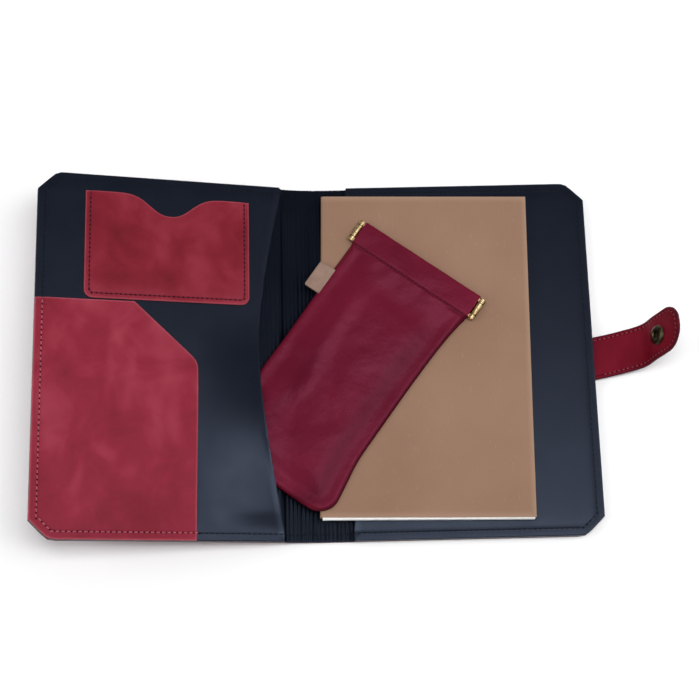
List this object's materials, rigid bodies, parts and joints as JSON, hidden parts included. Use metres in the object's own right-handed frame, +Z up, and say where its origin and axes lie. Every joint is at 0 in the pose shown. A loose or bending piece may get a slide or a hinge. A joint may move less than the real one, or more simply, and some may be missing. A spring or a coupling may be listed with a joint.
{
  "type": "leather portfolio case",
  "caption": "Folding leather portfolio case with sleeves, pockets and a snap strap, holding a thin notebook and a flat spring-mouth pen pouch.",
  "frame": {"origin": "middle of the back cover's underside, which lies on the table", "axes": "+X from the spine towards the strap, +Y towards the top of the page, +Z up"},
  "size_m": [0.3985, 0.232, 0.0509],
  "materials": {
    "red_leather": "waxed pull-up leather, slightly mottled",
    "black_leather": "smooth, soft sheen",
    "burgundy_leather": "soft smooth leather",
    "natural_leather": "undyed, suede side out",
    "board": "grey board",
    "kraft_card": "matt kraft card",
    "paper": "matt",
    "brass": "bright plated",
    "antique_brass": "dark antique plated"
  },
  "bodies": {
    "back_cover": {"back_outer_leather": "red_leather", "back_stiffener": "board", "back_lining": "black_leather", "back_sleeve_panel": "black_leather", "strap_anchor": "red_leather"},
    "spine_1": {"spine_leather_1": "red_leather", "spine_lining_1": "black_leather"},
    "spine_2": {"spine_leather_2": "red_leather", "spine_lining_2": "black_leather"},
    "spine_3": {"spine_leather_3": "red_leather", "spine_lining_3": "black_leather"},
    "spine_4": {"spine_leather_4": "red_leather", "spine_lining_4": "black_leather"},
    "front_cover": {"front_outer_leather": "red_leather", "front_stiffener": "board", "front_lining": "black_leather", "front_sleeve_panel": "black_leather", "card_pocket": "red_leather", "document_pocket": "red_leather", "snap_stud": "antique_brass", "snap_stud_rivet": "antique_brass"},
    "strap_root": {"strap_root_leather": "red_leather"},
    "strap_middle": {"strap_middle_leather": "red_leather"},
    "strap_end": {"strap_end_leather": "red_leather", "snap_socket": "antique_brass", "snap_cap": "antique_brass"},
    "notebook": {"notebook_cover": "kraft_card", "page_block": "paper"},
    "pouch": {"pouch_front_leather": "burgundy_leather", "pouch_back_leather": "burgundy_leather", "pouch_tab": "natural_leather", "flex_strip_front": "brass", "flex_strip_back": "brass", "frame_pin_left": "brass", "frame_pin_right": "brass"},
    "pouch_flap": {"pouch_front_flap": "burgundy_leather", "pouch_back_flap": "burgundy_leather"}
  },
  "joints": [
    {"name": "fold_1", "type": "hinge", "parent": "back_cover", "child": "spine_1", "pos_m": [-0.0809, 0, 0.0029], "axis": [0, 1, 0], "range_deg": [-2.62, 36.01]},
    {"name": "fold_2", "type": "hinge", "parent": "spine_1", "child": "spine_2", "pos_m": [-0.0886, 0, 0.0029], "axis": [0, 1, 0], "range_deg": [-2.47, 34.01]},
    {"name": "fold_3", "type": "hinge", "parent": "spine_2", "child": "spine_3", "pos_m": [-0.0963, 0, 0.00317], "axis": [0, 1, 0], "range_deg": [-2.33, 32.01]},
    {"name": "fold_4", "type": "hinge", "parent": "spine_3", "child": "spine_4", "pos_m": [-0.10395, 0, 0.00397], "axis": [0, 1, 0], "range_deg": [-2.33, 32.01]},
    {"name": "cover_fold", "type": "hinge", "parent": "spine_4", "child": "front_cover", "pos_m": [-0.11154, 0, 0.00531], "axis": [0, 1, 0], "range_deg": [-2.3, 31.8]},
    {"name": "strap_wrap", "type": "hinge", "parent": "back_cover", "child": "strap_root", "pos_m": [0.0826, 0, 0.0038], "axis": [0, -1, 0], "range_deg": [-6, 69]},
    {"name": "strap_bend_middle", "type": "hinge", "parent": "strap_root", "child": "strap_middle", "pos_m": [0.09553, 0, 0.00516], "axis": [0, -1, 0], "range_deg": [-0.98, 11.02]},
    {"name": "strap_bend_end", "type": "hinge", "parent": "strap_middle", "child": "strap_end", "pos_m": [0.11061, 0, 0.01065], "axis": [0, -1, 0], "range_deg": [-3.32, 38.02]},
    {"name": "notebook_push", "type": "slide", "parent": "back_cover", "child": "notebook", "axis": [1, 0, 0], "range_m": [-0.0012, 0.0155]},
    {"name": "pouch_lift_off", "type": "slide", "parent": "notebook", "child": "pouch", "axis": [0.5878, 0.809, 0], "range_m": [0, 0.27]},
    {"name": "pouch_crease", "type": "hinge", "parent": "pouch", "child": "pouch_flap", "pos_m": [-0.096, 0, 0.01585], "axis": [0, 1, 0], "range_deg": [-12.6, 172.2], "deforming": ["pouch_front_flap", "pouch_back_flap"]}
  ],
  "couplings": [
    {"joint": "fold_1", "follows": "cover_fold", "ratio": 1.1321},
    {"joint": "fold_2", "follows": "cover_fold", "ratio": 1.0692},
    {"joint": "fold_3", "follows": "cover_fold", "ratio": 1.0063},
    {"joint": "fold_4", "follows": "cover_fold", "ratio": 1.0063},
    {"joint": "strap_bend_middle", "follows": "strap_wrap", "ratio": 0.15942},
    {"joint": "strap_bend_end", "follows": "strap_wrap", "ratio": 0.55073},
    {"joint": "notebook_push", "follows": "cover_fold", "m_per_rad": 0.027747},
    {"joint": "pouch_crease", "follows": "cover_fold", "ratio": 5.4088}
  ]
}
